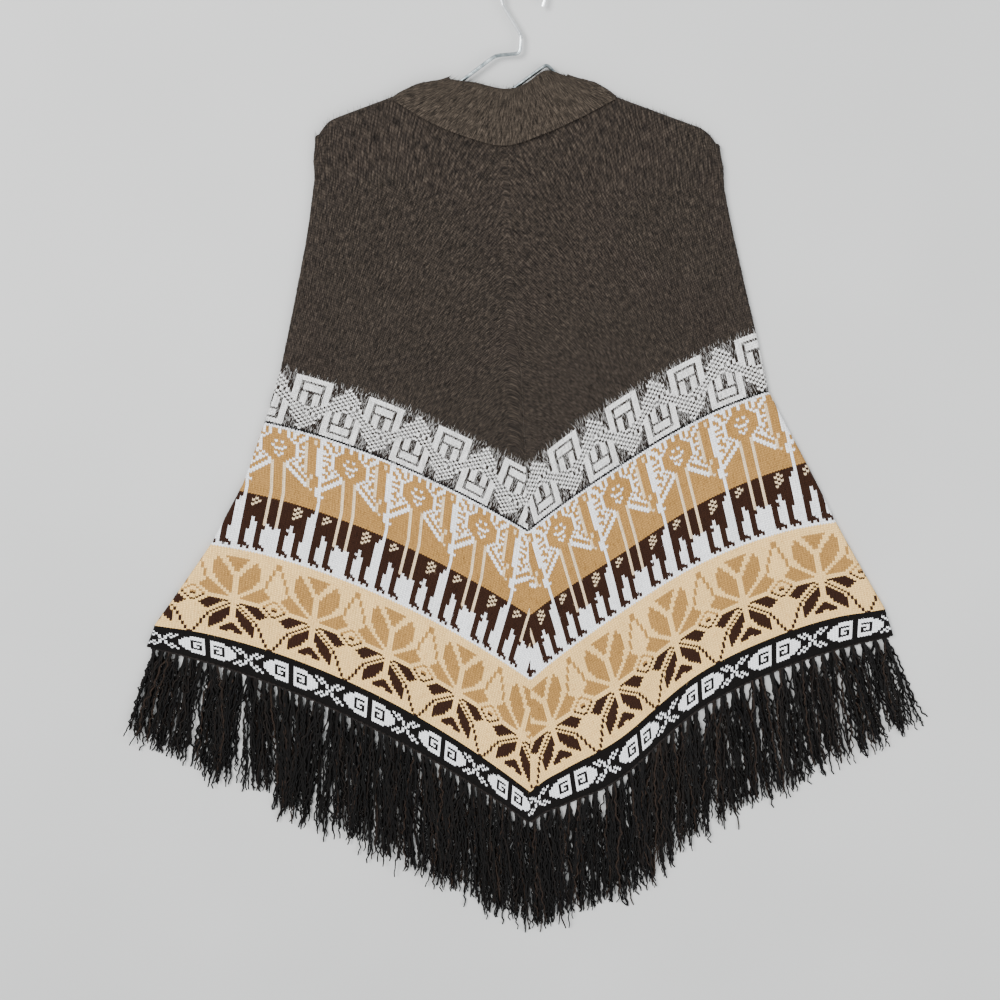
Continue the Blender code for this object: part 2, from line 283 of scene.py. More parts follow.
FRAME_CHART = """
############
############
##........##
##.######.##
##.######.##
##.######.##
##........##
##.##..##.##
##.##..##.##
##.##..##.##
##.##..##.##
.#.##..##.#.
#.#.#..#.#.#
.#.#.##.#.#.
#.#.#..#.#.#
.#.#.##.#.#.
..#.#.#.#.#.
.#.#.#.#.#..
..#.#.#.#...
...#.#.#.#..
....#.#.#...
.....#.#....
....#.#.....
.....#......
"""

# Where the first repeat starts, in stitches from the side fold towards the seam
PHASES = {
    "hem": {-1: -21.3, 1: -34.2},
    "star": {-1: -3.7, 1: -4.9},
    "figure": {-1: -4.4, 1: -3.4},
    "frame": {-1: 6.0, 1: 7.5},
}
# Stitches that the columns move in from the side fold for each row down: the cloth hangs askew
SHEARS = {
    "hem": {-1: 0.25, 1: 0.25},
    "star": {-1: 0.36, 1: 0.26},
    "figure": {-1: 0.22, 1: 0.22},
    "frame": {-1: 0.0, 1: 0.0},
}

# Soft ridges in the cloth: x, y at both ends, height and width. The back has them too, lower
CREASES = (
    (0.030, 0.655, 0.200, 0.690, 0.0016, 0.012),
    (0.090, 0.600, 0.235, 0.640, 0.0013, 0.010),
    (-0.180, 0.600, -0.090, 0.560, 0.0012, 0.011),
    (-0.150, 0.700, -0.060, 0.655, 0.0009, 0.013),
    (0.060, 0.470, 0.180, 0.540, 0.0010, 0.014),
    (-0.350, 0.330, -0.240, 0.250, 0.0014, 0.016),
    (-0.260, 0.215, -0.150, 0.130, 0.0016, 0.013),
    (0.110, 0.085, 0.190, 0.175, 0.0022, 0.014),
    (0.200, 0.190, 0.300, 0.250, 0.0017, 0.013),
    (0.330, 0.320, 0.400, 0.250, 0.0019, 0.012),
    (0.020, 0.350, 0.120, 0.390, 0.0010, 0.018),
    (-0.120, 0.440, -0.030, 0.380, 0.0010, 0.015),
)
BACK_CREASE = 0.5

SHOULDER_TUCK = 0.003  # the fold draws in at the shoulder
SKIN = 0.8  # where the outer face lies in the cloth's thickness; the rest is nap

FRAME_TOP, CHEST, YOKE = 5, 6, 7  # places in SECTIONS
BODY_RISES = (0.188, 0.085, 0.085)  # heights above frame_top, chest and yoke
BODY_ROW = 0.0055
BODY_COLUMNS = 42  # in each flat layer
FOLD_STATIONS = np.radians((0, 24, 48, 72, 90))
CURL_ROWS = 4
INNER_EVERY = 6  # rows of the outside to each row of the inside
INNER_COLUMNS = 15
INSIDE_YARN = (70, 58, 50)
SEAM_TILT = math.radians(38)  # lean of the columns beside the centre seam, above the bands


def linear(colour):
    """A colour as seen, 0 to 255, to the shader's linear 0 to 1."""
    share = np.asarray(colour, float) / 255
    return np.where(share <= 0.04045, share / 12.92, ((share + 0.055) / 1.055) ** 2.4)


def smooth_step(low, high, value):
    share = np.clip((value - low) / (high - low), 0.0, 1.0)
    return share * share * (3.0 - 2.0 * share)


# ---------------------------------------------------------------- shape of the cloth


def section_y(line, out, side):
    sag = line["dip"] * np.exp(-(((out - DIP_AT) / DIP_WIDTH) ** 2))
    sag = sag * smooth_step(0.0, DIP_START, out) if side > 0 else 0.0
    return line["seam_y"] + line["rise"] * out - line["curve"] * out**2 - sag


def seam_x(y):
    return SEAM_BOW * np.sin(math.pi * np.clip(y / SEAM_LENGTH, 0.0, 1.0))


def plan_x(out, y, reach, side):
    middle = seam_x(y)
    return middle + side * (SEWN_GAP + out * (1 - (SEWN_GAP + side * middle) / reach))


def layer_gap(x, y, out, fold_x):
    along_bar = np.clip((x - BAR_START_X) / BAR_LENGTH, 0.0, 1.0)
    bar_y = BAR_LEFT_Y + (BAR_RIGHT_Y - BAR_LEFT_Y) * along_bar
    hanger = smooth_step(-HANGER_MARGIN - HANGER_FADE, -HANGER_MARGIN, y - bar_y)
    puff = FOLD_PUFF * smooth_step(fold_x - PUFF_REACH, fold_x, out)
    flat = LAYER_GAP + puff
    return flat + (HANGER_GAP - flat) * hanger


def middle_height(x, y, gap):
    inside = y - (FALL_TIP_Y + FALL_SLOPE * np.abs(x))
    lift = FALL_LIFT * smooth_step(-FALL_MARGIN - FALL_FADE, -FALL_MARGIN, inside)
    return lift + WALL + gap / 2


def neckline_y(out, side):
    size = SHOULDERS[side]
    share = np.clip(out / size["neck_x"], 0.0, 1.0) ** NECKLINE_POWER
    return NECKLINE_Y + share * (size["neck_y"] - NECKLINE_Y)


def shoulder_y(out, side):
    size = SHOULDERS[side]
    reach = size["end_x"] - WALL - HANGER_GAP / 2
    corner = np.clip((out - reach + CORNER) / CORNER, 0.0, 1.0)
    shoulder = size["neck_y"] - size["slope"] * (out - size["neck_x"]) - CORNER_DROP * corner**2
    curled = smooth_step(CURL_START, CURL_START + CURL_BLEND, out - size["neck_x"])
    radius = WALL + HANGER_GAP / 2
    return (neckline_y(out, side) - radius) * (1 - curled) + shoulder * curled, curled


def crease_height(x, y):
    """Height of the soft ridges at a place in the plan."""
    height = np.zeros(np.broadcast(x, y).shape)
    for x0, y0, x1, y1, top, width in CREASES:
        length = math.hypot(x1 - x0, y1 - y0)
        ahead = ((x - x0) * (x1 - x0) + (y - y0) * (y1 - y0)) / length
        aside = ((y - y0) * (x1 - x0) - (x - x0) * (y1 - y0)) / length
        aside = aside + 0.004 * np.sin(ahead * 55 + x0 * 40)  # the ridge wanders a little
        along = smooth_step(-0.3 * length, 0.35 * length, ahead)
        along = along * smooth_step(-1.3 * length, -0.65 * length, -ahead)
        height = height + top * along * np.exp(-((aside / width) ** 2))
    return height


class Course:
    """One line of stitches of a panel, from the back seam round the fold to the front seam."""

    def __init__(self, side, level, share=0.0, curl=0.0):
        table = np.array(SECTIONS[side])
        levels = np.arange(len(table))
        self.line = {n: float(np.interp(level, levels, c)) for n, c in zip(COLUMNS, table.T)}
        self.side, self.share, self.curl = side, share, curl
        self.fold_x = self.line["fold_x"] * (1 - share) + SHOULDERS[side]["end_x"] * share
        self.fold_x -= SHOULDER_TUCK * float(smooth_step(0.5, 1.0, share))
        self.fold_y = section_y(self.line, self.line["fold_x"], side) + share * YOKE_RISE
        at_fold = layer_gap(side * self.fold_x, self.fold_y, self.fold_x, self.fold_x)
        self.reach = self.fold_x - WALL - at_fold / 2
        self.quarter = math.pi / 2 * (at_fold + WALL) / 2  # from the fold's edge to the flat
        self.outs = np.linspace(self.reach, 0.0, 220)
        x, y, _ = self.plan(self.outs)
        self.arcs = np.concatenate([[0.0], np.cumsum(np.hypot(np.diff(x), np.diff(y)))])
        self.length = self.quarter + self.arcs[-1]

    def plan(self, out):
        top_y, curled = shoulder_y(out, self.side)
        y = section_y(self.line, out, self.side) * (1 - self.share) + top_y * self.share
        y = y + (1 - curled) * (WALL + HANGER_GAP / 2) * self.curl
        return plan_x(out, y, self.reach, self.side), y, curled

    def points(self, along, depth):
        """Points at distances along from the fold: + on the front. depth 1 is the outside."""
        angle = math.pi / 2 * np.clip(along / self.quarter, -1.0, 1.0)
        out = np.interp(np.abs(along) - self.quarter, self.arcs, self.outs)
        x, y, curled = self.plan(out)
        lean = curled * self.curl * CURL_END
        gap = layer_gap(x, y, out + (self.fold_x - self.reach), self.fold_x)
        away = gap / 2 + depth * WALL
        ridge = crease_height(x, y)
        layer = np.sin(angle)
        ridge = ridge * (BACK_CREASE + (1 - BACK_CREASE) * (layer + 1) / 2)
        return np.stack(
            [
                x + away * self.side * np.cos(angle) * np.cos(lean),
                y + away * np.sin(lean),
                middle_height(x, y, gap) + away * layer * np.cos(lean) + ridge,
            ],
            axis=-1,
        )


# ---------------------------------------------------------------- charts


def chart_rows(text):
    """A chart's lines from its lowest row up."""
    return text.split()[::-1]


HEM_ROWS = chart_rows(HEM_CHART)
STAR_ROWS_BELOW = chart_rows(STAR_LOWER_CHART)
STAR_ROWS_ABOVE = STAR_UPPER_CHART.split()
FIGURE_ROWS = chart_rows(FIGURE_CHART)
FRAME_ROWS = chart_rows(FRAME_CHART)


def hem_yarn(column, row):
    marks = HEM_ROWS[row]
    return "W" if marks[column % len(marks)] == "#" else "K"


def star_yarn(column, row):
    below = row < len(STAR_ROWS_BELOW)
    marks = STAR_ROWS_BELOW[row] if below else STAR_ROWS_ABOVE[row - len(STAR_ROWS_BELOW)]
    place = column % (2 * len(marks))
    aside = min(place, 2 * len(marks) - 1 - place)
    if marks[aside] != "#":
        return "T"
    return "B" if below else "C"


def figure_yarn(column, row):
    marks = FIGURE_ROWS[row]
    mark = marks[column % len(marks)]
    return {"#": "C", ".": "W"}.get(mark, mark)


def frame_yarn(column, row):
    """Frames that stand and hang in turn, over one row of the hem's ground."""
    if row == 0:
        return "K"
    if row > len(FRAME_ROWS):
        return "D"
    width = len(FRAME_ROWS[0])
    place = column % (2 * width)
    marks = FRAME_ROWS[row - 1] if place < width else FRAME_ROWS[-row]
    return "G" if marks[place % width] == "#" else "D"


# Name, chart, and the two sections that each band lies between
BANDS = (
    ("hem", hem_yarn, 0, 1),
    ("star", star_yarn, 1, 2),
    ("figure", figure_yarn, 2, 4),
    ("frame", frame_yarn, 4, 5),
)


# ---------------------------------------------------------------- meshes


def zipped(low, low_at, high, high_at):
    """Triangles between two chains of vertices, and where along each triangle's base lies."""
    faces, middles = [], []
    i = j = 0
    while i < len(low) - 1 or j < len(high) - 1:
        step_low = j == len(high) - 1 or (i < len(low) - 1 and low_at[i + 1] <= high_at[j + 1])
        if step_low:
            faces.append((low[i], low[i + 1], high[j]))
            middles.append((low_at[i] + low_at[i + 1]) / 2)
            i += 1
        else:
            faces.append((low[i], high[j + 1], high[j]))
            middles.append((high_at[j] + high_at[j + 1]) / 2)
            j += 1
    return faces, middles


def piece(made, stands_for=None):
    """Puts a piece on the one body that all ride, and hides the CAD part it stands for."""
    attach(made, "root")
    if stands_for:
        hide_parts(stands_for)
    return made


def make_object(name, points, faces, material, colours=None, knit=None, attributes=None):
    """A mesh object with a yarn colour for each face and a knit map for each point."""
    mesh = bpy.data.meshes.new(name)
    mesh.from_pydata(np.asarray(points).tolist(), [], np.asarray(faces).tolist())
    loops = np.empty(len(mesh.loops), int)
    mesh.loops.foreach_get("vertex_index", loops)
    if colours is not None:
        layer = mesh.color_attributes.new("yarn", "FLOAT_COLOR", "CORNER")
        sizes = np.empty(len(mesh.polygons), int)
        mesh.polygons.foreach_get("loop_total", sizes)
        filled = np.ones((len(mesh.loops), 4))
        filled[:, :3] = np.repeat(colours, sizes, axis=0)
        layer.data.foreach_set("color", filled.ravel())
    if knit is not None:
        layer = mesh.uv_layers.new(name="knit")
        layer.data.foreach_set("uv", np.asarray(knit)[loops].ravel())
    for key, values in (attributes or {}).items():
        mesh.attributes.new(key, "FLOAT", "POINT").data.foreach_set("value", values)
    mesh.transform(Matrix.Translation(ORIGIN))
    mesh.materials.append(material)
    made = bpy.data.objects.new(name, mesh)
    bpy.context.scene.collection.objects.link(made)
    return made


def face_outwards(made):
    """Turns a closed mesh's faces to the outside."""
    work = bmesh.new()
    work.from_mesh(made.data)
    bmesh.ops.recalc_face_normals(work, faces=work.faces)
    if work.calc_volume(signed=True) < 0:
        bmesh.ops.reverse_faces(work, faces=work.faces)
    work.to_mesh(made.data)
    work.free()
    made.data.shade_smooth()
    made.data.set_sharp_from_angle(angle=math.radians(60))


def carried(side, row):
    """How many stitches the columns have moved in from the fold by a row, from the bands' top."""
    names = [band[0] for band in BANDS]
    rows = np.cumsum([0] + [SECTION_ROWS[name] for name in names])
    rates = np.array([SHEARS[name][side] for name in names])
    below = np.concatenate([np.cumsum((np.diff(rows) * rates)[::-1])[::-1], [0.0]])
    return float(np.interp(row, rows, below))


def band_row(side, level, drop_level, row):
    """Points of one row of the bands. Half columns hang down a little, as stitches do."""
    course = Course(side, level)
    below = Course(side, drop_level)
    stitch = STITCH[side]
    shift = carried(side, row)
    last = course.length / stitch - shift
    columns = np.arange(math.ceil(-shift * 2) / 2, last, 0.5)
    columns = columns[(columns + shift > 0.2) & (last - columns > 0.2)]
    half = np.concatenate([[-shift], columns, [last]])
    from_fold = half + shift
    signed = np.concatenate([-from_fold[:0:-1], from_fold])
    counted = np.concatenate([half[:0:-1], half])
    points = course.points(signed * stitch, SKIN)
    hung = np.abs(counted * 2 % 2 - 1) < 1e-6
    hung[[0, len(half) - 1, -1]] = False
    points[hung] = below.points(signed[hung] * stitch, SKIN)
    return {
        "course": course,
        "at": signed,
        "half": half,
        "points": points,
        "v": np.full(len(signed), float(row)),
        "u": counted,
    }


def body_stations(course):
    """Distances from the fold of the body's columns."""
    fold = course.quarter * FOLD_STATIONS / (math.pi / 2)
    flat = np.linspace(course.quarter, course.length, BODY_COLUMNS + 1)
    half = np.concatenate([fold[:-1], flat])
    return np.concatenate([-half[:0:-1], half])


def body_levels():
    """Levels, shares and curls of the body's rows, above the bands."""
    to_chest, to_yoke, to_shoulder = (round(rise / BODY_ROW) for rise in BODY_RISES)
    rows = [(FRAME_TOP + (k + 1) / to_chest, 0.0, 0.0) for k in range(to_chest)]
    rows += [(CHEST + (k + 1) / to_yoke, 0.0, 0.0) for k in range(to_yoke)]
    rows += [(YOKE, (k + 1) / to_shoulder, 0.0) for k in range(to_shoulder)]
    rows += [(YOKE, 1.0, (k + 1) / CURL_ROWS) for k in range(CURL_ROWS)]
    return rows


def traced(course, along, before):
    """Knit map of a body row, followed down its columns to the row before."""
    points = course.points(along, 0.5)
    out = np.interp(np.abs(along) - course.quarter, course.arcs, course.outs) / course.reach
    low = before["middle"]
    rise = np.maximum(points[-1, 1] - low[-1, 1], 1e-4)
    fold = len(along) // 2
    fold_rise = max(points[fold, 1] - low[fold, 1], 1e-4)
    fold_tilt = math.atan2(abs(low[fold, 0]) - abs(points[fold, 0]), fold_rise)
    tilt = fold_tilt * out + SEAM_TILT * (1 - out)
    step = fold_rise * out + rise * (1 - out)
    reached = np.abs(points[fold:, 0]) + (np.tan(tilt) * step)[fold:]
    source = np.abs(low[fold:, 0])
    u = np.interp(reached, source[::-1], before["u"][fold:][::-1])
    v = np.interp(reached, source[::-1], before["v"][fold:][::-1])
    v = v + (step / np.cos(tilt))[fold:] / ROW
    u[0] = 0.0
    return np.concatenate([-u[:0:-1], u]), np.concatenate([v[:0:-1], v])


def body_row(course, along, u, v):
    """One row of the body's outer face, with the cloth's middle for the next row to follow."""
    return {
        "course": course,
        "at": along / course.length,
        "points": course.points(along, SKIN),
        "middle": course.points(along, 0.5),
        "u": u,
        "v": v,
        "chart": ("body", None, 0),
    }


def panel_rows(side):
    """All rows of a panel's outer face, and the yarn chart that lies above each."""
    rows = []
    for name, yarn, low, high in BANDS:
        count = SECTION_ROWS[name]
        for k in range(count):
            level = low + (high - low) * k / count
            drop = max(level - V_DROP * (high - low) / count, 0.0)
            made = band_row(side, level, drop, len(rows))
            made["chart"] = (name, yarn, k)
            rows.append(made)
    course = Course(side, FRAME_TOP)
    along = body_stations(course)
    counted = np.full(len(along), float(len(rows)))
    rows.append(body_row(course, along, along / STITCH[side], counted))
    for level, share, curl in body_levels():
        course = Course(side, level, share, curl)
        along = body_stations(course)
        before = rows[-1]
        u, v = traced(course, along, before) if curl == 0 else (before["u"], before["v"] + 1.0)
        rows.append(body_row(course, along, u, v))
    return rows


def row_faces(row, above, chain, chain_above):
    """Triangles between two rows, and where each one's base is: in the bands, in stitches."""
    if "body" in (row["chart"][0], above["chart"][0]):
        at, at_above = row["at"] / row["at"][-1], above["at"] / above["at"][-1]
        made, middles = zipped(chain, at, chain_above, at_above)
        return made, np.abs(middles) * row["at"][-1]
    low, high = row["half"], above["half"]
    fold, fold_above = len(low) - 1, len(high) - 1
    back, back_counts = zipped(
        chain[: fold + 1], -low[::-1], chain_above[: fold_above + 1], -high[::-1]
    )
    front, front_counts = zipped(chain[fold:], low, chain_above[fold_above:], high)
    return back + front, np.concatenate([-np.array(back_counts), front_counts])


def outer_faces(side, rows, chains):
    """Triangles of a panel's outside, with the yarn and the band of each."""
    faces, colours, bands = [], [], []
    for k, row in enumerate(rows[:-1]):
        name, yarn, chart_row = row["chart"]
        made, counts = row_faces(row, rows[k + 1], chains[k], chains[k + 1])
        faces += made
        bands += [name] * len(made)
        if yarn is None:
            colours += ["D"] * len(made)
            continue
        phase = PHASES[name][side]
        for column in np.floor(counts):
            place = column - phase if side < 0 else phase - column
            colours.append(yarn(math.floor(place), chart_row))
    return faces, colours, bands


def inner_row(side, row):
    """Places, points and knit map of one row of the inside."""
    course = row["course"]
    fold = course.quarter * FOLD_STATIONS[::2] / (math.pi / 2)
    flat = np.linspace(course.quarter, course.length, INNER_COLUMNS)
    half = np.concatenate([fold[:-1], flat])
    along = np.concatenate([-half[:0:-1], half])
    v = np.interp(np.abs(along), np.abs(row["at"]) * course.length / row["at"][-1], row["v"])
    knit = np.stack([along / STITCH[side], v], axis=1)
    return along / course.length, course.points(along, 0.0), knit


def panel_mesh(side):
    """Points, faces and knitting of one panel: a fine outside, a coarse inside and its rims."""
    rows = panel_rows(side)
    starts = np.concatenate([[0], np.cumsum([len(row["points"]) for row in rows])])
    chains = [np.arange(starts[k], starts[k + 1]).tolist() for k in range(len(rows))]
    faces, colours, bands = outer_faces(side, rows, chains)
    outside = len(faces)

    keep = list(range(0, len(rows) - 1, INNER_EVERY)) + [len(rows) - 1]
    inner = [inner_row(side, rows[k]) for k in keep]
    inner_starts = starts[-1] + np.concatenate([[0], np.cumsum([len(at) for at, _, _ in inner])])
    inner_chains = [
        list(range(inner_starts[k], inner_starts[k + 1])) for k in range(len(inner))
    ]
    for k in range(len(inner) - 1):
        faces += zipped(inner_chains[k], inner[k][0], inner_chains[k + 1], inner[k + 1][0])[0]
    for k in (0, -1):
        at = rows[k]["at"] / rows[k]["at"][-1]
        faces += zipped(chains[k], at, inner_chains[k], inner[k][0])[0]
    for end in (0, -1):
        edge = [chain[end] for chain in chains]
        inner_edge = [chain[end] for chain in inner_chains]
        faces += zipped(edge, list(range(len(edge))), inner_edge, keep)[0]
    colours += ["I"] * (len(faces) - outside)
    points = np.concatenate([row["points"] for row in rows] + [row[1] for row in inner])
    knit = [np.stack([row["u"], row["v"]], axis=1) for row in rows]
    knit = np.concatenate(knit + [row[2] for row in inner])
    return points, np.array(faces), colours, bands, knit, outside


# ---------------------------------------------------------------- nap

NAP = {  # fibres for each square centimetre, length, lean off the column in degrees
    "body": (13.0, 0.0075, 10),
    "frame": (26.0, 0.0060, 14),
    "figure": (8.0, 0.0042, 16),
    "star": (7.0, 0.0036, 16),
    "hem": (4.0, 0.0026, 18),
}
BODY_FIBRES = ((62, 55, 48), (50, 44, 39), (28, 25, 22), (22, 19, 17), (76, 67, 58), (38, 33, 29))
BACK_NAP = 0.55  # share of the fibres on the back
NAP_RADIUS = 0.00018
NAP_ROOT = 0.0001  # how deep a fibre starts
BRUSHED_SHARE = 0.94  # of the fibres on the frames' dark ground, white ones brushed over it
FLOOR_CLEAR = 0.00008


def nap_mesh(points, faces, colours, bands, knit, rng):
    """Loose fibres on a cloth's outside: thin spikes that lie along its columns."""
    corners = points[faces]
    one, two = corners[:, 1] - corners[:, 0], corners[:, 2] - corners[:, 0]
    normal = np.cross(one, two)
    area = np.linalg.norm(normal, axis=1) / 2
    normal = normal / np.maximum(np.linalg.norm(normal, axis=1), 1e-12)[:, None]
    maps = knit[faces]
    d1, d2 = maps[:, 1] - maps[:, 0], maps[:, 2] - maps[:, 0]
    det = d1[:, 0] * d2[:, 1] - d2[:, 0] * d1[:, 1]
    det = np.where(np.abs(det) < 1e-9, 1e-9, det)
    wale = (two * d1[:, :1] - one * d2[:, :1]) / det[:, None]
    wale = wale / np.maximum(np.linalg.norm(wale, axis=1), 1e-12)[:, None]

    density = np.array([NAP[name][0] for name in bands]) * 1e4
    on_back = normal[:, 2] < -0.3
    weight = area * density * np.where(on_back, BACK_NAP, 1.0)
    count = int(weight.sum())
    pick = rng.choice(len(faces), size=count, p=weight / weight.sum())
    share = rng.random((count, 2))
    flip = share.sum(axis=1) > 1
    share[flip] = 1 - share[flip]
    root = corners[pick, 0] + share[:, :1] * one[pick] + share[:, 1:] * two[pick]
    length = np.array([NAP[name][1] for name in bands])[pick] * rng.uniform(0.5, 1.35, count)
    spread = np.radians(np.array([NAP[name][2] for name in bands])[pick])
    up = normal[pick]
    side_way = np.cross(up, wale[pick])
    turn = rng.normal(0, 1, count) * spread
    ahead = wale[pick] * np.cos(turn)[:, None] + side_way * np.sin(turn)[:, None]
    ahead = ahead * rng.choice((-1.0, 1.0), count)[:, None]
    across = np.cross(up, ahead)
    rise = rng.uniform(0.03, 0.13, count) * length * (0.35 + 0.65 * np.abs(up[:, 2]))
    wide = NAP_RADIUS * rng.uniform(0.6, 1.3, count)[:, None]
    base = root - up * NAP_ROOT
    made = np.stack(
        [
            base - across * wide,
            base + across * wide,
            base + up * wide * 1.6,
            root + ahead * length[:, None] + up * rise[:, None],
        ],
        axis=1,
    )
    made[..., 2] = np.maximum(made[..., 2], FLOOR_CLEAR)
    index = 4 * np.arange(count)[:, None, None]
    shape = np.array([[0, 2, 1], [0, 1, 3], [1, 2, 3], [2, 0, 3]])[None]
    tints = np.array([linear(YARNS.get(name, (0, 0, 0))) for name in colours])[pick]
    heather = np.array([linear(c) for c in BODY_FIBRES])[rng.integers(0, len(BODY_FIBRES), count)]
    in_body = np.array([name == "body" for name in bands])[pick]
    dark = np.array([name == "D" for name in colours])[pick]
    brushed = dark & ~in_body & (rng.random(count) < BRUSHED_SHARE)
    tints = np.where((in_body | dark)[:, None], heather, tints)
    tints = np.where(brushed[:, None], linear(YARNS["G"]), tints)
    tints = tints * rng.uniform(0.8, 1.15, count)[:, None]
    return made.reshape(-1, 3), (index + shape).reshape(-1, 3), np.repeat(tints, 4, axis=0)


# ---------------------------------------------------------------- materials


class Nodes:
    """A material's node tree, with short ways to add to it."""

    def __init__(self, name):
        self.material = bpy.data.materials.new(name)
        self.material.use_nodes = True
        self.tree = self.material.node_tree
        self.shader = self.tree.nodes["Principled BSDF"]

    def add(self, kind, **settings):
        node = self.tree.nodes.new(kind)
        for key, value in settings.items():
            setattr(node, key, value)
        return node

    def link(self, source, target):
        self.tree.links.new(source, target)

    def put(self, socket, value):
        """Links a socket's value, or sets it."""
        if isinstance(value, bpy.types.NodeSocket):
            self.link(value, socket)
        else:
            socket.default_value = value

    def math(self, operation, *values):
        node = self.add("ShaderNodeMath", operation=operation)
        for socket, value in zip(node.inputs, values):
            self.put(socket, value)
        return node.outputs[0]

    def mix(self, share, one, other, blend="MIX"):
        node = self.add("ShaderNodeMix", data_type="RGBA", blend_type=blend)
        self.put(node.inputs[0], share)
        self.put(node.inputs[6], one)
        self.put(node.inputs[7], other)
        return node.outputs[2]

    def scaled(self, vector, scale):
        node = self.add("ShaderNodeMapping")
        self.link(vector, node.inputs["Vector"])
        node.inputs["Scale"].default_value = scale
        return node.outputs[0]

    def noise(self, vector, scale, detail=2.0, roughness=0.5):
        node = self.add("ShaderNodeTexNoise")
        if vector is not None:
            self.link(vector, node.inputs["Vector"])
        node.inputs["Scale"].default_value = scale
        node.inputs["Detail"].default_value = detail
        node.inputs["Roughness"].default_value = roughness
        return node.outputs[0]

    def ramp(self, value, *stops):
        node = self.add("ShaderNodeValToRGB")
        self.link(value, node.inputs[0])
        while len(node.color_ramp.elements) < len(stops):
            node.color_ramp.elements.new(0.5)
        for element, (place, colour) in zip(node.color_ramp.elements, stops):
            element.position = place
            element.color = (*colour, 1.0)
        return node.outputs[0]

    def attribute(self, name):
        return self.add("ShaderNodeAttribute", attribute_name=name)

    def object_place(self):
        return self.add("ShaderNodeTexCoord").outputs["Object"]

    def finish(self, colour, roughness, specular=0.5, sheen=0.0):
        """The base colour, and the numbers that are the same all over."""
        self.link(colour, self.shader.inputs["Base Color"])
        self.shader.inputs["Roughness"].default_value = roughness
        self.shader.inputs["Specular IOR Level"].default_value = specular
        self.shader.inputs["Sheen Weight"].default_value = sheen

    def bump(self, height, distance, strength):
        node = self.add("ShaderNodeBump")
        node.inputs["Strength"].default_value = strength
        node.inputs["Distance"].default_value = distance
        self.link(height, node.inputs["Height"])
        self.link(node.outputs[0], self.shader.inputs["Normal"])


def stitch_height(nodes, knit):
    """Height of the knit: two legs to a stitch, with a dip between rows."""
    parts = nodes.add("ShaderNodeSeparateXYZ")
    nodes.link(knit, parts.inputs[0])
    u, v = parts.outputs[0], parts.outputs[1]
    leg = nodes.math("ABSOLUTE", nodes.math("SINE", nodes.math("MULTIPLY", u, 2 * math.pi)))
    row = nodes.math("ABSOLUTE", nodes.math("SINE", nodes.math("MULTIPLY", v, math.pi)))
    leg = nodes.math("POWER", leg, 0.5)
    row = nodes.math("POWER", row, 0.4)
    return nodes.math("MULTIPLY", leg, row)


def heathered_wool(nodes, knit, streak_scale, shades):
    """The body's colour: four shades of wool in streaks along the stitches."""
    streak = nodes.noise(nodes.scaled(knit, streak_scale), 1.0, 3.0, 0.65)
    stops = zip((0.30, 0.46, 0.56, 0.70), shades)
    return nodes.ramp(streak, *((place, linear(shade)) for place, shade in stops))


def knit_fleck(nodes, knit):
    return nodes.noise(nodes.scaled(knit, (2.3, 1.4, 1.0)), 1.0, 2.0)


def knit_material():
    nodes = Nodes("patterned_knit")
    yarn = nodes.attribute("yarn").outputs[0]
    heather = nodes.attribute("heather").outputs[2]
    knit = nodes.add("ShaderNodeUVMap", uv_map="knit").outputs[0]
    height = stitch_height(nodes, knit)
    shades = ((26, 23, 21), (42, 37, 33), (56, 49, 43), (73, 65, 57))
    wool = heathered_wool(nodes, knit, (2.6, 0.38, 1.0), shades)
    patches = nodes.noise(nodes.scaled(knit, (0.11, 0.05, 1.0)), 1.0, 2.0)
    colour = nodes.mix(heather, yarn, wool)
    fleck = knit_fleck(nodes, knit)
    tone = nodes.math("MULTIPLY_ADD", fleck, 0.70, 0.68)
    # The stitch height darkens the colour too: painted shade in the grooves between the legs and rows.
    # Fleck and patches are the wool's own tone
    tone = nodes.math("MULTIPLY", tone, nodes.math("MULTIPLY_ADD", height, 0.62, 0.55))
    tone = nodes.math("MULTIPLY", tone, nodes.math("MULTIPLY_ADD", patches, 0.30, 0.85))
    tone_with_painted_shade = nodes.add("ShaderNodeCombineColor")
    for socket in tone_with_painted_shade.inputs[:3]:
        nodes.link(tone, socket)
    nodes.finish(nodes.mix(1.0, colour, tone_with_painted_shade.outputs[0], "MULTIPLY"), 0.95, 0.06, 0.02)
    nodes.shader.inputs["Sheen Roughness"].default_value = 0.6
    nodes.bump(nodes.math("MULTIPLY_ADD", fleck, 0.5, height), 0.0006, 0.8)
    return nodes.material


def nap_material():
    nodes = Nodes("knit_nap")
    fleck = nodes.noise(nodes.object_place(), 900.0, 1.0)
    tone = nodes.ramp(fleck, (0.3, (0.75, 0.74, 0.73)), (0.7, (1.0, 1.0, 1.0)))
    colour = nodes.mix(1.0, nodes.attribute("yarn").outputs[0], tone, "MULTIPLY")
    nodes.finish(colour, 0.85, 0.08, 0.02)
    return nodes.material


def collar_material():
    nodes = Nodes("heathered_knit")
    knit = nodes.add("ShaderNodeUVMap", uv_map="knit").outputs[0]
    height = stitch_height(nodes, knit)
    shades = ((33, 29, 26), (53, 47, 41), (70, 62, 54), (92, 82, 72))
    wool = heathered_wool(nodes, knit, (2.4, 0.40, 1.0), shades)
    # Painted shade: the colour is darker in the grooves between the stitches
    tone = nodes.ramp(height, (0.0, (0.78, 0.78, 0.78)), (0.8, (1.0, 1.0, 1.0)))
    nodes.finish(nodes.mix(1.0, wool, tone, "MULTIPLY"), 0.95, 0.06, 0.02)
    nodes.bump(nodes.math("MULTIPLY_ADD", knit_fleck(nodes, knit), 0.5, height), 0.0006, 0.8)
    return nodes.material


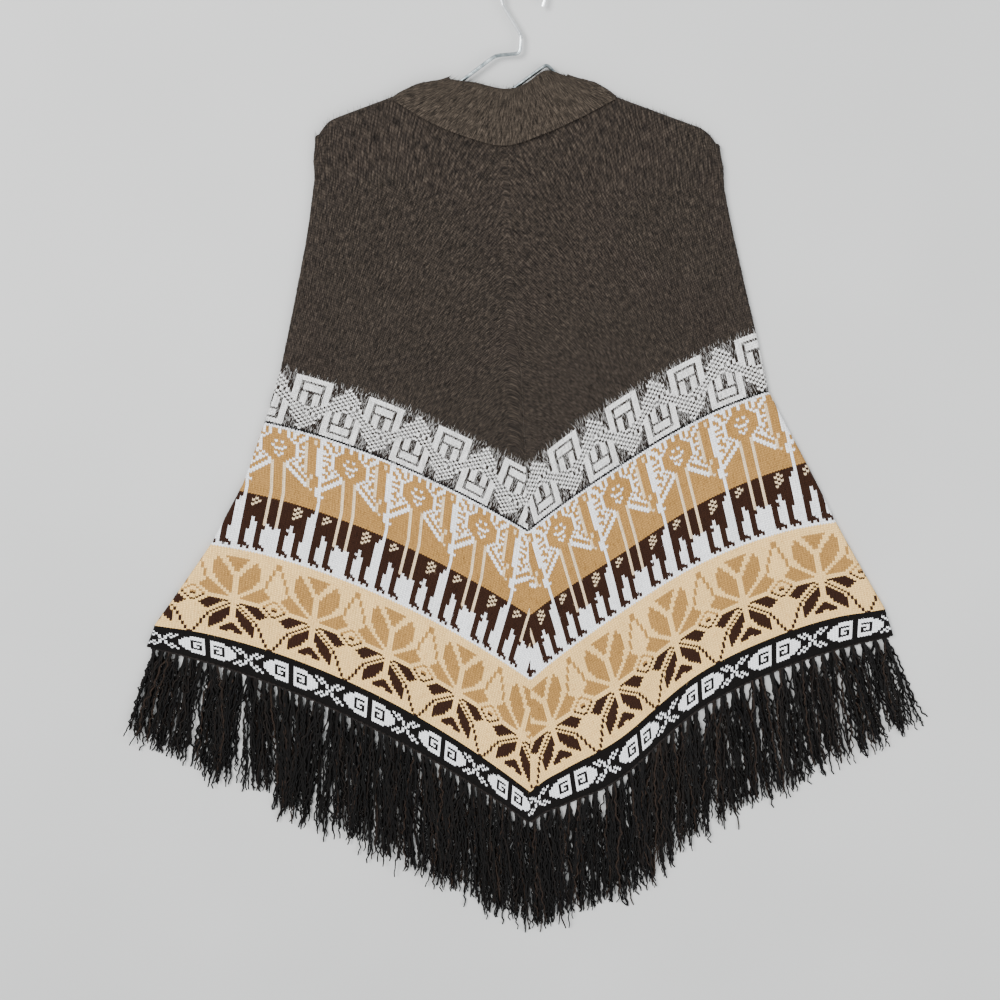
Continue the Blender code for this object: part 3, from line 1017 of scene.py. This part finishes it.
def fringe_material():
    nodes = Nodes("fringe_yarn")
    place = nodes.object_place()
    fleck = nodes.noise(place, 420.0, 2.0)
    tone = nodes.ramp(fleck, (0.35, (0.55, 0.53, 0.52)), (0.65, (1.25, 1.2, 1.15)))
    colour = nodes.mix(1.0, nodes.attribute("yarn").outputs[0], tone, "MULTIPLY")
    nodes.finish(colour, 0.6, 0.14)
    nodes.bump(nodes.noise(place, 900.0, 1.0), 0.0004, 0.6)
    return nodes.material


# Heights up the wire where its colour goes from a painted dark reflection below to a painted light
# reflection on the hook
REFLECTION_DARK_UP_TO_Y = 0.868
REFLECTION_LIGHT_FROM_Y = 0.892


def wire_material():
    """Zinc wire with a painted reflection: lighter on the hook, darker where the wire goes down into
    the neck.
    """
    nodes = Nodes("zinc_wire")
    place = nodes.object_place()
    cloudy = nodes.noise(place, 260.0, 3.0)
    parts = nodes.add("ShaderNodeSeparateXYZ")
    nodes.link(place, parts.inputs[0])
    high = nodes.add("ShaderNodeMapRange")
    nodes.link(parts.outputs[1], high.inputs[0])
    high.inputs[1].default_value = REFLECTION_DARK_UP_TO_Y + ORIGIN.y
    high.inputs[2].default_value = REFLECTION_LIGHT_FROM_Y + ORIGIN.y
    # Painted reflection in the base colour: light like the sky on the hook, dark and greenish like the
    # turf lower down
    painted_light_reflection = nodes.ramp(cloudy, (0.35, (0.66, 0.68, 0.69)), (0.7, (0.83, 0.84, 0.84)))
    painted_dark_reflection = nodes.ramp(cloudy, (0.35, (0.16, 0.19, 0.20)), (0.7, (0.38, 0.42, 0.43)))
    nodes.link(nodes.mix(high.outputs[0], painted_dark_reflection, painted_light_reflection), nodes.shader.inputs["Base Color"])
    rough = nodes.add("ShaderNodeMapRange")
    nodes.link(cloudy, rough.inputs[0])
    rough.inputs[3].default_value = 0.22
    rough.inputs[4].default_value = 0.42
    nodes.link(rough.outputs[0], nodes.shader.inputs["Roughness"])
    nodes.shader.inputs["Metallic"].default_value = 1.0
    nodes.bump(nodes.noise(place, 1200.0, 2.0), 0.0001, 0.4)
    return nodes.material


def floor_material():
    nodes = Nodes("floor")
    soft = nodes.noise(nodes.object_place(), 3.0, 2.0)
    tone = nodes.ramp(soft, (0.3, (0.52, 0.52, 0.51)), (0.7, (0.56, 0.56, 0.55)))
    nodes.finish(tone, 0.9)
    return nodes.material


# ---------------------------------------------------------------- pieces


def build_panel(side, name, knit, fuzz, rng):
    points, faces, colours, bands, knit_map, outside = panel_mesh(side)
    palette = {key: linear(value) for key, value in dict(YARNS, I=INSIDE_YARN).items()}
    face_colours = np.array([palette[key] for key in colours])
    face_colours = face_colours * rng.uniform(0.95, 1.05, len(face_colours))[:, None]
    heather = np.where(knit_map[:, 1] >= sum(SECTION_ROWS.values()) - 0.5, 1.0, 0.0)
    made = make_object(name, points, faces, knit, face_colours, knit_map, {"heather": heather})
    face_outwards(made)
    piece(made, name.replace("_cloth", ""))

    normals = np.cross(
        points[faces[:outside, 1]] - points[faces[:outside, 0]],
        points[faces[:outside, 2]] - points[faces[:outside, 0]],
    )
    centre = points[faces[:outside]].mean(axis=1)
    away = np.where(centre[:, 2] > middle_height(centre[:, 0], centre[:, 1], LAYER_GAP), 1.0, -1.0)
    turn = np.sign(np.median(normals[:, 2] * away))
    shown = faces[:outside] if turn > 0 else faces[:outside, ::-1]
    fibres = nap_mesh(points, shown, colours[:outside], bands, knit_map, rng)
    nap = make_object(name.replace("cloth", "nap"), *fibres[:2], fuzz, fibres[2])
    nap.data.shade_smooth()
    return made, piece(nap)


def smooth_table(table, at):
    """Rows of a table at fractional places, on a smooth curve through them."""
    table = np.vstack([2 * table[0] - table[1], table, 2 * table[-1] - table[-2]])
    base = np.clip(np.floor(at).astype(int), 0, len(table) - 4)
    t = (at - base)[:, None]
    p0, p1, p2, p3 = (table[base + k] for k in range(4))
    return p1 + t * (p2 - p0) / 2 + t**2 * (p0 - 2.5 * p1 + 2 * p2 - p3 / 2) + t**3 * (
        (3 * (p1 - p2) + p3 - p0) / 2
    )


COLLAR_STATIONS = 65
COLLAR_SIDE_STATIONS = 12
COLLAR_STITCH = 0.0032
COLLAR_ROWS = 34
STAND_POINTS = 6
ROLL_POINTS = 9
FALL_POINTS = 14
FALL_PUFF = 0.0016
FALL_EDGE_DROP = 0.0010  # the fall thins towards its edge
FALL_SIDE_DROP = 0.0030  # and comes down at the sides of the neck
PRESSED = 0.35  # the sides of the top edge are pressed flat


def collar_profile(row, turn, side, phase):
    """The collar's two faces at one station, from the neckline over the top to the fall's edge."""
    stand_in, stand_out = HANGER_GAP / 2, HANGER_GAP / 2 + WALL
    fall_in, fall_out = stand_out + SEAM, stand_out + SEAM + WALL
    roll_middle = (stand_in + fall_out) / 2
    middle = middle_height(0.0, NECKLINE_Y, HANGER_GAP)
    neck_side = -1 if row[0] < 0 else 1
    neck = np.array([row[0], neckline_y(abs(row[0]), neck_side) + COLLAR_CLEAR])
    top, fall = row[1:3], row[3:5]
    up = (top - neck) / np.linalg.norm(top - neck)
    apex = top - (ROLL + 0.004 * smooth_step(0.030, 0.055, abs(top[0] - 0.006))) * up
    along_side = (top - fall) / np.linalg.norm(top - fall)
    out = np.array([-along_side[1], along_side[0]])
    out = -out if out[1] < 0 else out
    if side == 0:
        normal = np.array([0.0, 0.0, math.cos(turn)])
    else:
        normal = np.array([out[0] * math.sin(turn), out[1] * math.sin(turn), math.cos(turn)])
    slim = normal * np.array([PRESSED, PRESSED, 1.0])
    front = max(math.cos(turn), 0.0)
    puff = FALL_PUFF * front * (0.75 + 0.25 * math.sin(9 * phase))
    puff = puff * (1 - smooth_step(0.050, 0.100, abs(fall[0])))
    sides = []
    faces = ((stand_in, fall_out, ROLL, 1.0), (stand_out, fall_in, SEAM / 2, 0.6))
    for stand, fall_at, radius, swell in faces:
        points = []
        for share in np.linspace(0, 1, STAND_POINTS)[:-1]:
            points.append(np.array([*(neck + share * (apex - neck)), middle]) + stand * slim)
        for angle in np.linspace(-math.pi / 2, math.pi / 2, ROLL_POINTS):
            place = apex + radius * math.cos(angle) * up
            height = roll_middle + radius * math.sin(angle)
            points.append(np.array([*place, middle]) + height * slim)
        for share in np.linspace(0, 1, FALL_POINTS)[1:]:
            lift = puff * swell * math.sin(math.pi * min(share * 0.62, 1.0))
            if fall_at == fall_out:
                lift = lift - FALL_EDGE_DROP * smooth_step(0.80, 1.0, share)
            lift = lift - FALL_SIDE_DROP * abs(side) * math.sin(turn) * share**2
            place = apex + share * (fall - apex)
            settled = slim + (normal - slim) * smooth_step(0.0, 0.6, share)
            points.append(np.array([*place, middle]) + (fall_at + lift) * settled)
        sides.append(points)
    return sides


def build_collar(material, fuzz, rng):
    table = np.array(COLLAR)
    front = smooth_table(table, np.linspace(0, len(table) - 1, COLLAR_STATIONS))
    halves = np.linspace(0, math.pi, COLLAR_SIDE_STATIONS + 2)[1:-1]
    stations = [(row, 0.0, 0) for row in front]
    stations += [(front[-1], turn, 1) for turn in halves]
    stations += [(row, math.pi, 0) for row in front[::-1]]
    stations += [(front[0], math.pi - turn, -1) for turn in halves]
    around = np.linspace(0, 2 * math.pi, len(stations), endpoint=False)
    profiles = [collar_profile(row, t, side, p) for (row, t, side), p in zip(stations, around)]
    one = np.array([p[0] for p in profiles])
    other = np.array([p[1] for p in profiles])
    rows, columns = one.shape[:2]
    count = rows * columns
    faces = []
    for r in range(rows):
        s = (r + 1) % rows
        for c in range(columns - 1):
            quad = (r * columns + c, r * columns + c + 1, s * columns + c + 1, s * columns + c)
            faces.append(quad)
            faces.append(tuple(count + i for i in reversed(quad)))
        for c in (0, columns - 1):
            here, there = r * columns + c, s * columns + c
            faces.append((here, there, count + there, count + here))
    points = np.concatenate([one.reshape(-1, 3), other.reshape(-1, 3)])
    down = np.linspace(0, 1, columns)
    steps = np.linalg.norm(np.diff(one[:, -1], axis=0, append=one[:1, -1]), axis=1)
    wide = np.cumsum(steps) / COLLAR_STITCH
    knit = np.stack(np.broadcast_arrays(wide[:, None], down[None] * COLLAR_ROWS), axis=-1)
    knit = knit.reshape(-1, 2)
    knit = np.concatenate([knit, knit])
    made = make_object("collar_cloth", points, [list(f) for f in faces], material, None, knit)
    face_outwards(made)
    piece(made, "collar")

    outer = np.array([f for f in faces if max(f) < count])
    tris = np.concatenate([outer[:, [0, 1, 2]], outer[:, [0, 2, 3]]])
    centre = one.reshape(-1, 3).mean(axis=0)
    normal = np.cross(points[tris[:, 1]] - points[tris[:, 0]], points[tris[:, 2]] - points[tris[:, 0]])
    away = points[tris].mean(axis=1) - centre
    if np.median(normal[:, 2] * np.sign(away[:, 2])) < 0:
        tris = tris[:, ::-1]
    fibres = nap_mesh(points, tris, ["D"] * len(tris), ["body"] * len(tris), knit, rng)
    nap = make_object("collar_nap", *fibres[:2], fuzz, fibres[2])
    nap.data.shade_smooth()
    return made, piece(nap)


STRAND_POINTS = 32
STRAND_SIDES = 4
STRAND_SPREAD = 0.0046
STRAND_CURL = 0.0022
STRAND_KINK = 0.00105
STRAND_RADII = (0.00095, 0.00125)
STRAND_RISE = 0.0016  # the strands lie looser away from the hem
TUFTS = {-1: (0.0092, 6), 1: (0.0122, 8)}  # spacing and strands in each tuft
STRAND_SHADES = ((5, 4, 4), (10, 8, 7), (20, 15, 12), (7, 6, 5), (36, 27, 21))
SHADE_SHARES = (0.30, 0.28, 0.16, 0.18, 0.08)
EDGE_YARN = (27, 22, 20)
EDGE_SIDES = 8
EDGE_STEP = 0.0016
EDGE_DROP = 0.0017
FRINGE_LAYERS = (("front", 0.0029, 0.0060), ("back", 0.0001, 0.0026))  # between two heights


def tube_mesh(paths, radii, sides):
    """Closed tubes along paths, an array of strands, points and xyz."""
    strands, count = paths.shape[:2]
    ahead = np.gradient(paths, axis=1)
    ahead = ahead / np.linalg.norm(ahead, axis=2, keepdims=True)
    across = np.cross(ahead, (0.0, 0.0, 1.0))
    across = across / np.maximum(np.linalg.norm(across, axis=2, keepdims=True), 1e-6)
    upward = np.cross(across, ahead)
    rings = []
    for k in range(sides):
        turn = 2 * math.pi * (k + 0.25) / sides
        rings.append(paths + radii[..., None] * (across * math.cos(turn) + upward * math.sin(turn)))
    points = np.stack(rings, axis=2).reshape(-1, 3)
    start = (np.arange(strands) * count * sides)[:, None, None]
    step = (np.arange(count - 1) * sides)[None, :, None]
    faces = []
    for k in range(sides):
        n = (k + 1) % sides
        for shape in ((k, n, sides + n), (k, sides + n, sides + k)):
            faces.append((start + step + np.array(shape)).reshape(-1, 3))
    end = (count - 1) * sides
    for k in range(1, sides - 1):
        faces.append((start[:, 0] + np.array((0, k + 1, k))).reshape(-1, 3))
        faces.append((start[:, 0] + end + np.array((0, k, k + 1))).reshape(-1, 3))
    return points, np.concatenate(faces)


def hem_line(side):
    """The hem in plan, from the seam to the fold."""
    course = Course(side, 0.0)
    out = np.linspace(0.0, course.reach, 400)
    x, y, _ = course.plan(out)
    arcs = np.concatenate([[0.0], np.cumsum(np.hypot(np.diff(x), np.diff(y)))])
    return x, y, out / course.reach, arcs


def strand_mesh(side, low, high, line, rng):
    """Points and faces of a stretch's strands, and how many strands there are."""
    x, y, share, arcs = line
    spacing, in_tuft = TUFTS[side]
    tufts = int(arcs[-1] / spacing)
    at = (np.arange(tufts) + 0.5 + rng.uniform(-0.18, 0.18, tufts)) * arcs[-1] / tufts
    at = np.repeat(at, in_tuft)
    count = len(at)
    tuft = np.repeat(np.arange(tufts), in_tuft)
    sway = (rng.normal(0, 0.06, tufts))[tuft] + rng.normal(0, 0.07, count)
    root_at = np.clip(at + rng.uniform(-0.0016, 0.0016, count), 0.001, arcs[-1] - 0.001)
    root_x, root_y = np.interp(root_at, arcs, x), np.interp(root_at, arcs, y)
    out = np.interp(root_at, arcs, share)
    length = FRINGE_CENTRE * (1 - out) + FRINGE_CORNER * out
    length += 4 * (FRINGE_MIDDLE - (FRINGE_CENTRE + FRINGE_CORNER) / 2) * out * (1 - out)
    length *= (0.99 + rng.uniform(-0.10, 0.05, tufts))[tuft] + rng.uniform(-0.10, 0.05, count)
    lean = side * FRINGE_LEAN * out**2 + sway
    steps = np.linspace(0, 1, STRAND_POINTS)[None, :]
    spread = rng.normal(0, STRAND_SPREAD, count)[:, None] * smooth_step(0.02, 0.35, steps)
    curl = (STRAND_CURL * rng.uniform(0.3, 1.2, count))[:, None] * np.sin(
        steps * rng.uniform(5, 13, count)[:, None] + rng.uniform(0, 6.3, count)[:, None]
    )
    kink = rng.normal(0, STRAND_KINK, (count, STRAND_POINTS)) * np.minimum(steps * 9, 1)
    aside = spread + curl * np.minimum(steps * 4, 1) + kink
    reach = steps * length[:, None]
    sin, cos = np.sin(lean)[:, None], np.cos(lean)[:, None]
    knot = 1 + 0.18 * np.exp(-((steps / 0.03) ** 2))
    radius = rng.uniform(*STRAND_RADII, count)[:, None] * knot * (1 - 0.25 * steps**6)
    loose = STRAND_RISE * smooth_step(0.02, 0.2, steps)
    room = np.maximum(high + loose - low - 2 * radius, 0.0)
    lift = 0.5 + rng.normal(0, 0.30, (count, 1)) + rng.normal(0, 0.16, (count, STRAND_POINTS))
    lift = np.clip(lift, 0, 1)
    ridge = crease_height(root_x, root_y)[:, None] * (1 - steps)
    paths = np.stack(
        [
            root_x[:, None] + reach * sin + aside * cos,
            root_y[:, None] - 2 * SEAM - reach * cos + aside * sin,
            low + radius + room * lift + ridge,
        ],
        axis=-1,
    )
    points, faces = tube_mesh(paths, radius * np.ones((1, STRAND_POINTS)), STRAND_SIDES)
    return points, faces, count


def strand_colours(faces, count, rng):
    """A shade for each strand, given to its faces in the order that tube_mesh makes them."""
    shades = np.array([linear(shade) for shade in STRAND_SHADES])
    tint = shades[rng.choice(len(shades), count, p=SHADE_SHARES)]
    side_faces = 2 * STRAND_SIDES * (STRAND_POINTS - 1)
    strand = np.arange(count)
    sides = np.tile(np.repeat(strand, STRAND_POINTS - 1), 2 * STRAND_SIDES)
    ends = np.tile(strand, len(faces) // count - side_faces)
    return tint[np.concatenate([sides, ends])]


def edge_mesh(low, high, line):
    """The crocheted edge along the hem, that the tufts hang from."""
    x, y, _, arcs = line
    at = np.linspace(0.0015, arcs[-1] - 0.001, int(arcs[-1] / EDGE_STEP))
    wave = 0.00045 * np.sin(at * 2 * math.pi / 0.0062)
    edge_x, edge_y = np.interp(at, arcs, x), np.interp(at, arcs, y)
    middle = (low + high) / 2 + crease_height(edge_x, edge_y)
    thick = (high - low) / 2 - 0.0001
    path = np.stack([edge_x, edge_y - EDGE_DROP + wave, middle], axis=-1)
    bumps = 1 + 0.16 * np.sin(at * 2 * math.pi / 0.0041)
    return tube_mesh(path[None], (thick * 0.86 * bumps)[None], EDGE_SIDES)


def build_fringe(name, side, low, high, material, rng):
    line = hem_line(side)
    points, faces, count = strand_mesh(side, low, high, line, rng)
    edge_points, edge_faces = edge_mesh(low, high, line)
    edge_colours = np.tile(linear(EDGE_YARN), (len(edge_faces), 1))
    colours = np.concatenate([strand_colours(faces, count, rng), edge_colours])
    faces = np.concatenate([faces, edge_faces + len(points)])
    points = np.concatenate([points, edge_points])
    made = make_object(name + "_yarn", points, faces, material, colours)
    made.data.shade_smooth()
    return piece(made, name)


# ---------------------------------------------------------------- stage

CAMERA_OVER = (-0.005, 0.781)  # the place in the plan that the camera is straight above
CAMERA_HEIGHT = 1.163
CAMERA_TILT = math.radians(17.65)
CAMERA_TURN = math.radians(2.31)
CAMERA_LENS = 39.6
FLOOR_HALF = 6.0


def build_camera():
    data = bpy.data.cameras.new("camera")
    data.lens = CAMERA_LENS
    data.sensor_width = 36.0
    data.clip_start = 0.01
    made = bpy.data.objects.new("camera", data)
    place = Vector((*CAMERA_OVER, CAMERA_HEIGHT)) + ORIGIN
    right = Vector((math.cos(CAMERA_TURN), -math.sin(CAMERA_TURN), 0.0))
    ground_up = Vector((math.sin(CAMERA_TURN), math.cos(CAMERA_TURN), 0.0))
    back = Vector((0, 0, 1)) * math.cos(CAMERA_TILT) + ground_up * math.sin(CAMERA_TILT)
    up = back.cross(right)
    matrix = Matrix((right, up, back)).transposed().to_4x4()
    made.matrix_world = Matrix.Translation(place) @ matrix
    bpy.context.scene.collection.objects.link(made)
    bpy.context.scene.camera = made


def build_light(name, place, target, size, power):
    data = bpy.data.lights.new(name, "AREA")
    data.shape = "DISK"
    data.size = size
    data.energy = power
    made = bpy.data.objects.new(name, data)
    made.location = place
    made.rotation_euler = (Vector(place) - Vector(target)).to_track_quat("Z", "Y").to_euler()
    bpy.context.scene.collection.objects.link(made)


def build_stage():
    mesh = bpy.data.meshes.new("floor")
    corners = [(x * FLOOR_HALF, y * FLOOR_HALF, 0) for x, y in ((-1, -1), (1, -1), (1, 1), (-1, 1))]
    mesh.from_pydata(corners, [], [(0, 1, 2, 3)])
    mesh.materials.append(floor_material())
    floor = bpy.data.objects.new("floor", mesh)
    bpy.context.scene.collection.objects.link(floor)
    build_light("key", (-1.6, 1.4, 2.6), (0, 0.4, 0), 1.8, 150)
    build_light("fill", (2.0, -0.6, 2.2), (0, 0.4, 0), 2.4, 58)
    world = bpy.data.worlds.new("studio")
    world.use_nodes = True
    world.node_tree.nodes["Background"].inputs[0].default_value = (0.94, 0.97, 1.0, 1.0)
    world.node_tree.nodes["Background"].inputs[1].default_value = 1.05
    bpy.context.scene.world = world


def build():
    knit = knit_material()
    fuzz = nap_material()
    left, left_nap = build_panel(-1, "left_panel_cloth", knit, fuzz, np.random.default_rng(11))
    right, right_nap = build_panel(1, "right_panel_cloth", knit, fuzz, np.random.default_rng(12))
    collar, collar_nap = build_collar(collar_material(), fuzz, np.random.default_rng(13))
    yarn = fringe_material()
    for k, (layer, low, high) in enumerate(FRINGE_LAYERS):
        for word, side in (("left", -1), ("right", 1)):
            rng = np.random.default_rng(20 + 2 * k + (side > 0))
            name = f"fringe_{layer}_{word}"
            build_fringe(name, side, low, high, yarn, rng)
    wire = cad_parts["hanger"]
    finish = wire_material()
    for material_slot in wire.material_slots:
        material_slot.material = finish


build_camera()
build_stage()
build()
